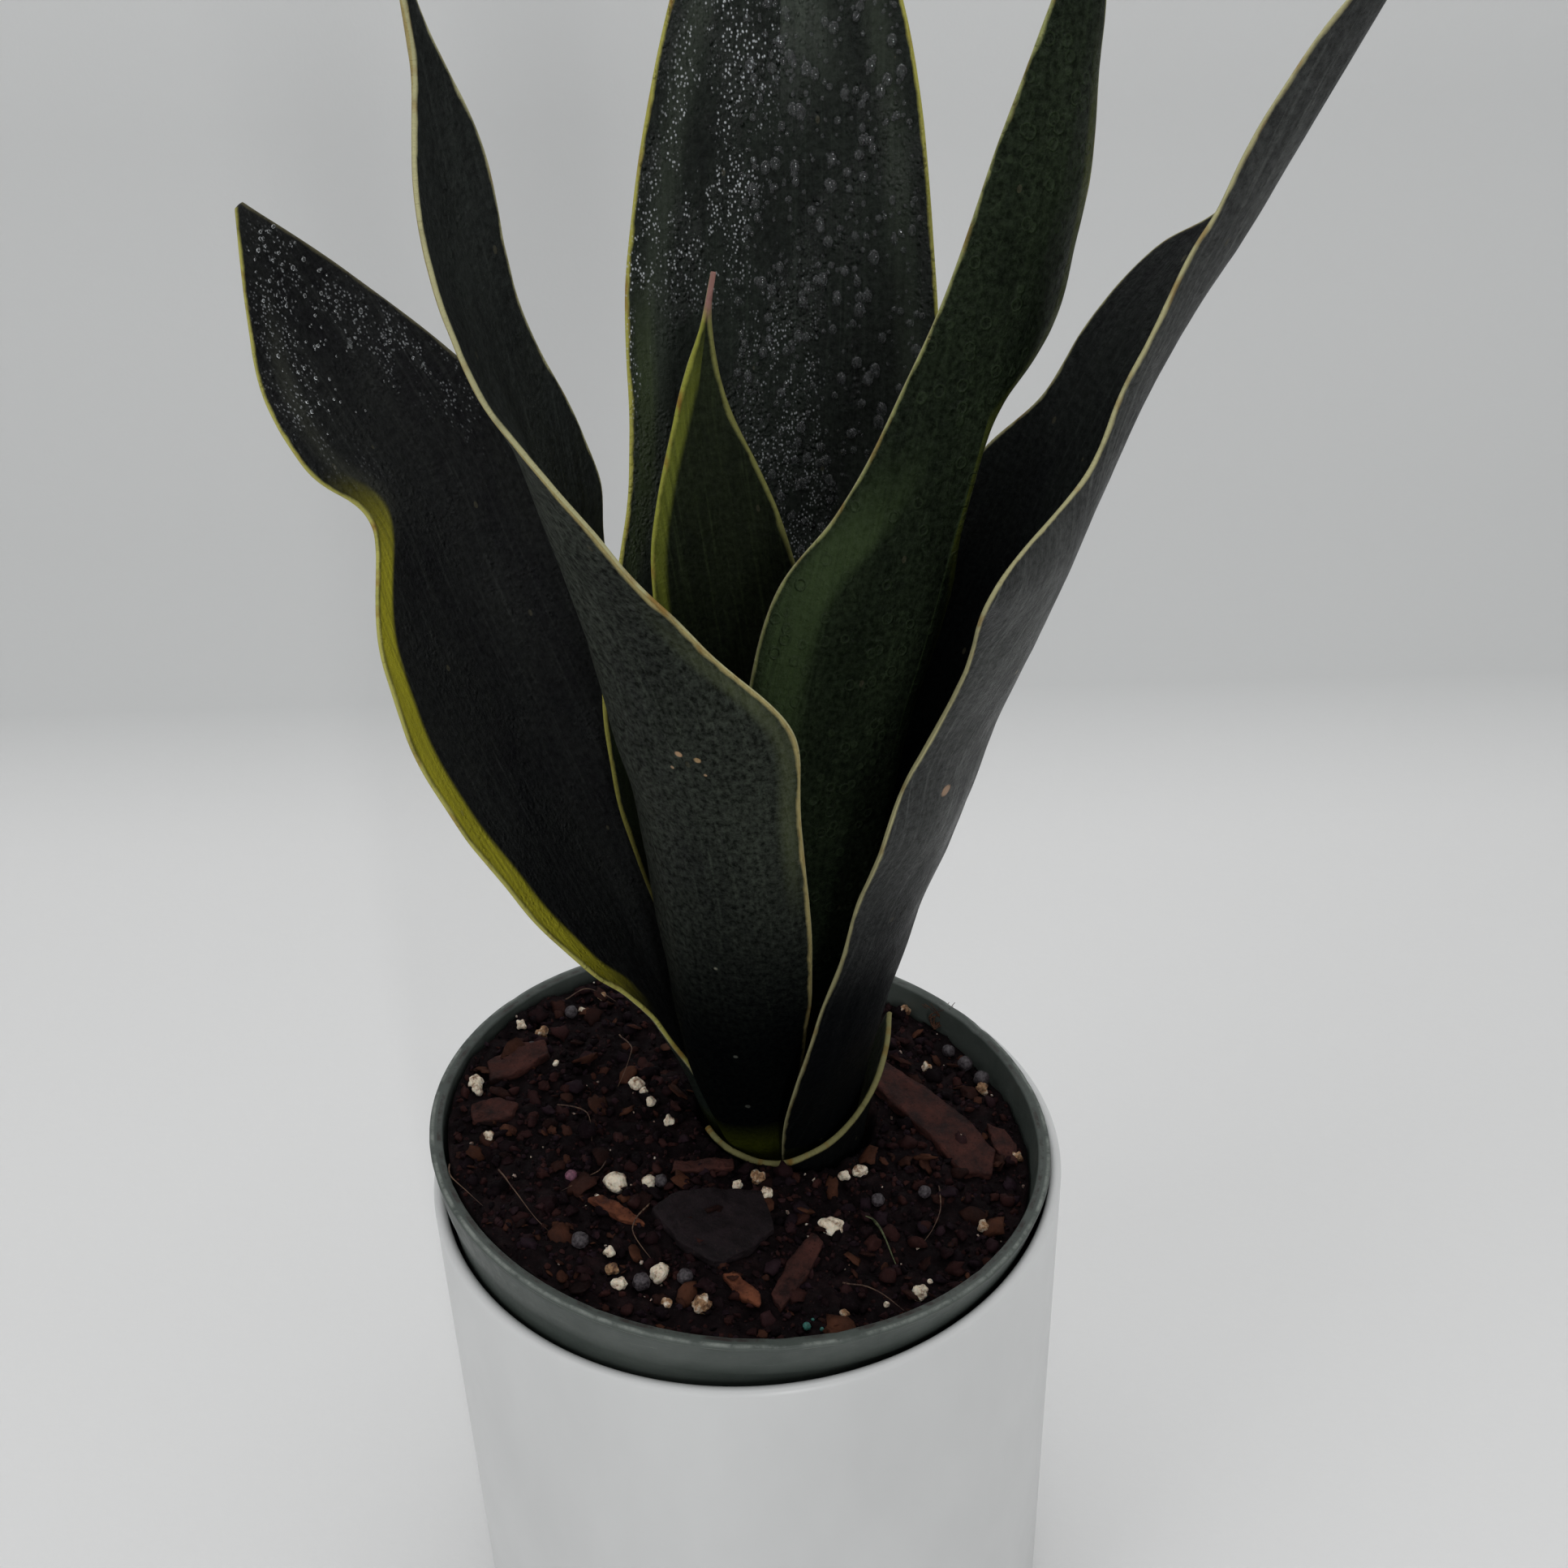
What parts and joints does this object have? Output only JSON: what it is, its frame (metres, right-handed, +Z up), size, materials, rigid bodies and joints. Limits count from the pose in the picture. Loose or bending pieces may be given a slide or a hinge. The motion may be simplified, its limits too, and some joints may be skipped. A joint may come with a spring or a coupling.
{
  "type": "potted snake plant",
  "caption": "Potted snake plant: broad, channelled, yellow-edged leaves rise from bark and perlite mix in a green nursery pot, set slightly askew in a plain white cylindrical cachepot.",
  "frame": {"origin": "centre of the cachepot's flat foot, on the surface that it stands on", "axes": "+Z up the plant, -Y towards the front, +X to the right as seen from the front"},
  "size_m": [0.2267, 0.162, 0.4881],
  "materials": {
    "white_glaze": "satin white glaze",
    "grower_green": "dark green injection-moulded plastic, lightly scuffed",
    "potting_mix": "moist, coarse bark and peat crumbs",
    "rhizome": "fibrous tan stem",
    "leaf": "near-black green, satin, wet in places, with pale yellow margins",
    "sheath": "green, satin, with a pale margin",
    "bark": "rough, dark to reddish pine bark",
    "perlite": "matt cream, porous"
  },
  "bodies": {
    "root": {"cachepot": "white_glaze", "nursery_pot": "grower_green", "potting_mix": "potting_mix", "rhizome": "rhizome", "back_leaf": "leaf", "front_leaf": "leaf", "centre_right_leaf": "leaf", "right_leaf": "leaf", "left_leaf": "leaf", "young_leaf": "leaf", "basal_sheath": "sheath", "bark_chip_flat": "bark", "bark_chip_long": "bark", "bark_chip_rim": "bark", "bark_chip_thin": "bark", "bark_chip_left": "bark", "bark_chip_small": "bark", "bark_sliver_orange": "bark", "bark_sliver_red": "bark", "bark_sliver_front": "bark", "perlite_grain_1": "perlite", "perlite_grain_2": "perlite", "perlite_grain_3": "perlite", "perlite_grain_4": "perlite", "perlite_grain_5": "perlite", "perlite_grain_6": "perlite", "perlite_grain_7": "perlite", "perlite_grain_8": "perlite"}
  },
  "joints": []
}
